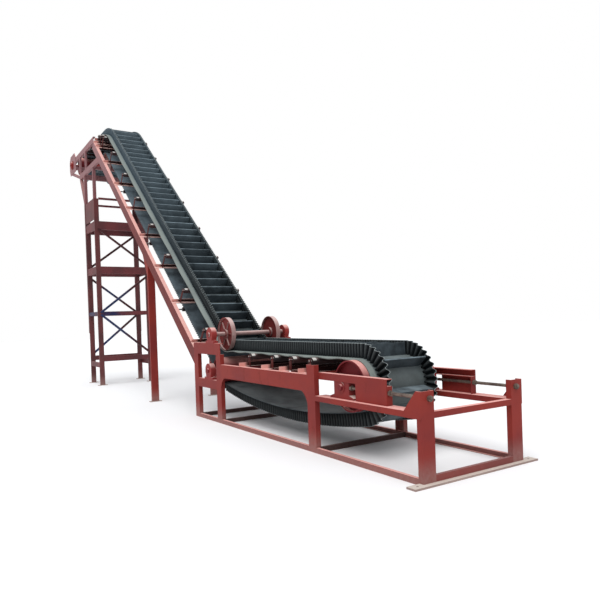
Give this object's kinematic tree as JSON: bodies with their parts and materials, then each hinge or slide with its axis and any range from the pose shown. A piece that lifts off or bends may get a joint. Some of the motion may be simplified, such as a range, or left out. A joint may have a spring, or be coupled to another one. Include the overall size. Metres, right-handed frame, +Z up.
{
  "type": "incline belt conveyor",
  "caption": "Incline conveyor with a corrugated-sidewall cleated belt: level loading end with screw take-up, inclined run on stringers and legs, and a head frame on a steel tower",
  "frame": {"origin": "on the floor, under the middle of the overall box", "axes": "+X points to the tail (loading) end, the longest way; +Z up; the near side of the picture is -Y"},
  "size_m": [14.5913, 1.74, 6.732],
  "materials": {
    "frame_paint": "red-oxide paint, dusty on top and rusting at edges",
    "tower_paint": "dark red-oxide paint with old blue paint and rust",
    "roller_paint": "worn paint over steel tube",
    "bearing_paint": "painted cast iron under dust",
    "screw_steel": "dull threaded steel",
    "dusty_steel": "bare and painted steel under grey dust",
    "belt_rubber": "black rubber greyed by dust"
  },
  "bodies": {
    "frame": {"belt_band_bends": "belt_rubber", "belt_band_runs": "belt_rubber", "belt_cleats": "belt_rubber", "belt_sidewall_bends": "belt_rubber", "belt_sidewall_runs": "belt_rubber", "bend_drum_bearings": "bearing_paint", "carrying_idlers": "roller_paint", "corner_gussets": "frame_paint", "foot_plates": "tower_paint", "head_bearings": "bearing_paint", "head_bottom_chords": "frame_paint", "head_cross_members": "frame_paint", "head_end_plates": "frame_paint", "head_struts": "frame_paint", "head_top_chords": "frame_paint", "head_web_members": "frame_paint", "hold_down_bearings": "bearing_paint", "idler_cross_angles": "frame_paint", "idler_uprights": "frame_paint", "intermediate_legs": "tower_paint", "loading_rails": "frame_paint", "lower_beams": "frame_paint", "press_wheel_bearings": "bearing_paint", "return_rollers": "roller_paint", "side_posts": "frame_paint", "sill_cross_members": "frame_paint", "sills": "frame_paint", "stringers": "frame_paint", "tail_base_strip": "dusty_steel", "tail_cross_member": "frame_paint", "tail_posts": "frame_paint", "take_up_bearings": "bearing_paint", "take_up_frames": "frame_paint", "take_up_rails": "frame_paint", "take_up_screws": "screw_steel", "tower_brace_angles": "tower_paint", "tower_cross_rings": "tower_paint", "tower_legs": "tower_paint", "tower_side_plates": "tower_paint", "tower_side_rings": "tower_paint", "tower_splices": "tower_paint", "tower_upper_legs": "tower_paint", "upper_beams": "frame_paint"},
    "tail_drum": {"tail_drum": "frame_paint"},
    "bend_drum": {"bend_drum": "frame_paint"},
    "head_drum": {"head_drum": "frame_paint"},
    "hold_down_wheels": {"hold_down_wheels": "frame_paint"},
    "press_wheels": {"press_wheels": "frame_paint"}
  },
  "joints": [
    {"name": "tail_drum_turns", "type": "hinge", "parent": "frame", "child": "tail_drum", "pos_m": [5.93579, 0, 0.795], "axis": [0, 1, 0], "continuous": true},
    {"name": "bend_drum_turns", "type": "hinge", "parent": "frame", "child": "bend_drum", "pos_m": [2.46778, 0, 0.79], "axis": [0, 1, 0], "continuous": true},
    {"name": "head_drum_turns", "type": "hinge", "parent": "frame", "child": "head_drum", "pos_m": [-6.86379, 0, 6.3], "axis": [0, 1, 0], "continuous": true},
    {"name": "hold_down_wheels_turns", "type": "hinge", "parent": "frame", "child": "hold_down_wheels", "pos_m": [2.55542, 0, 1.3625], "axis": [0, 1, 0], "continuous": true},
    {"name": "press_wheels_turns", "type": "hinge", "parent": "frame", "child": "press_wheels", "pos_m": [-4.32717, 0, 5.7725], "axis": [0, 1, 0], "continuous": true}
  ]
}
